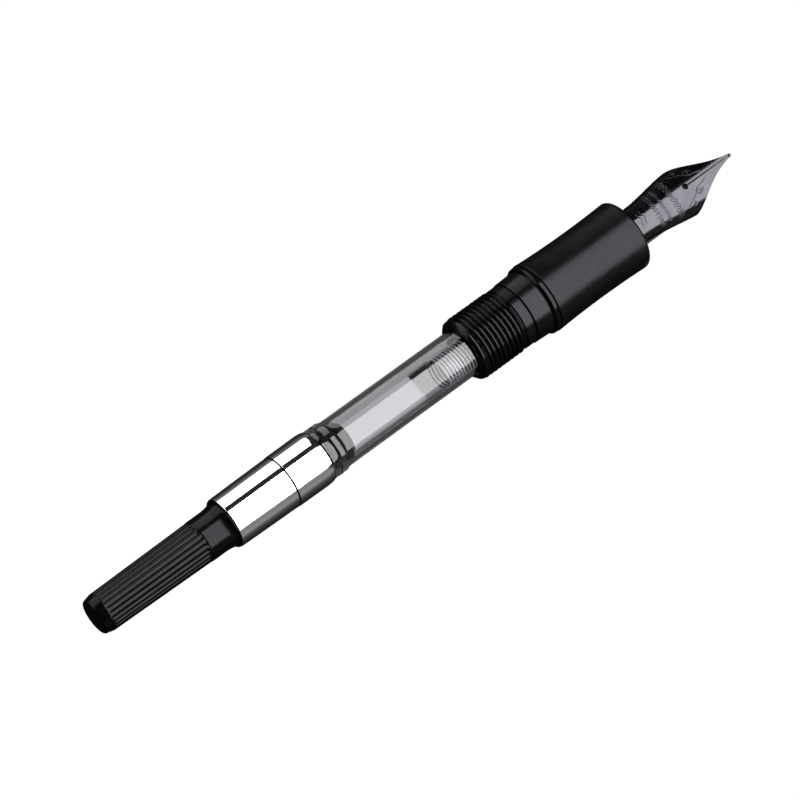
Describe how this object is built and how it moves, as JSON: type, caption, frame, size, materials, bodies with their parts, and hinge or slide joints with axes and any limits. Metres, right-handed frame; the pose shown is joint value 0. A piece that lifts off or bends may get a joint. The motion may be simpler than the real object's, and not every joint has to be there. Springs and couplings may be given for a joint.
{
  "type": "fountain pen writing unit",
  "caption": "Steel nib and feed in a waisted grip section with barrel thread and trim ring, fed by a plug-in screw-piston converter with a clear reservoir, agitator spring and fluted knob.",
  "frame": {"origin": "the centre of the whole unit's box, on the pen's axis, inside the converter's reservoir near its front end", "axes": "+X along the pen's axis towards the nib, +Z out of the nib's top face, +Y to the nib's left seen from behind the pen"},
  "size_m": [0.1114, 0.0106, 0.0106],
  "materials": {
    "satin_black": "satin moulded resin",
    "ring_black": "polished",
    "feed_black": "matt, slightly rough so that ink wets it",
    "knob_black": "glossy moulded",
    "seal_black": "soft satin",
    "clear_plastic": "clear moulded plastic, polished",
    "pale_plastic": "natural white acetal",
    "chrome": "bright plated",
    "nib_steel": "polished, dark plated, engraved border",
    "tip_alloy": "ground and polished hard alloy",
    "spring_steel": "bright drawn wire"
  },
  "bodies": {
    "section": {"grip_sleeve": "satin_black", "trim_ring": "ring_black", "threaded_coupling": "satin_black", "nib_collar": "satin_black"},
    "nib_unit": {"nib": "nib_steel", "tipping_left": "tip_alloy", "tipping_right": "tip_alloy", "feed": "feed_black"},
    "converter": {"reservoir_tube": "clear_plastic", "ferrule_front": "chrome", "ferrule_rear": "chrome", "rod_guide": "pale_plastic"},
    "knob_unit": {"knob": "knob_black", "spindle_nut": "pale_plastic"},
    "piston": {"piston_rod": "pale_plastic", "piston_seal": "seal_black"},
    "agitator": {"agitator_spring": "spring_steel"}
  },
  "joints": [
    {"name": "nib_pull", "type": "slide", "parent": "section", "child": "nib_unit", "axis": [1, 0, 0], "range_m": [0, 0.018]},
    {"name": "converter_pull", "type": "slide", "parent": "section", "child": "converter", "axis": [-1, 0, 0], "range_m": [0, 0.0115]},
    {"name": "knob_turn", "type": "hinge", "parent": "converter", "child": "knob_unit", "pos_m": [-0.034, 0, 0], "axis": [-1, 0, 0], "range_deg": [0, 1860]},
    {"name": "piston_travel", "type": "slide", "parent": "converter", "child": "piston", "axis": [1, 0, 0], "range_m": [0, 0.0186]},
    {"name": "agitator_travel", "type": "slide", "parent": "converter", "child": "agitator", "axis": [1, 0, 0], "range_m": [0, 0.0045]}
  ],
  "couplings": [
    {"joint": "knob_turn", "follows": "piston_travel", "rad_per_m": 1745.3},
    {"joint": "agitator_travel", "follows": "piston_travel", "ratio": 0.2409}
  ]
}
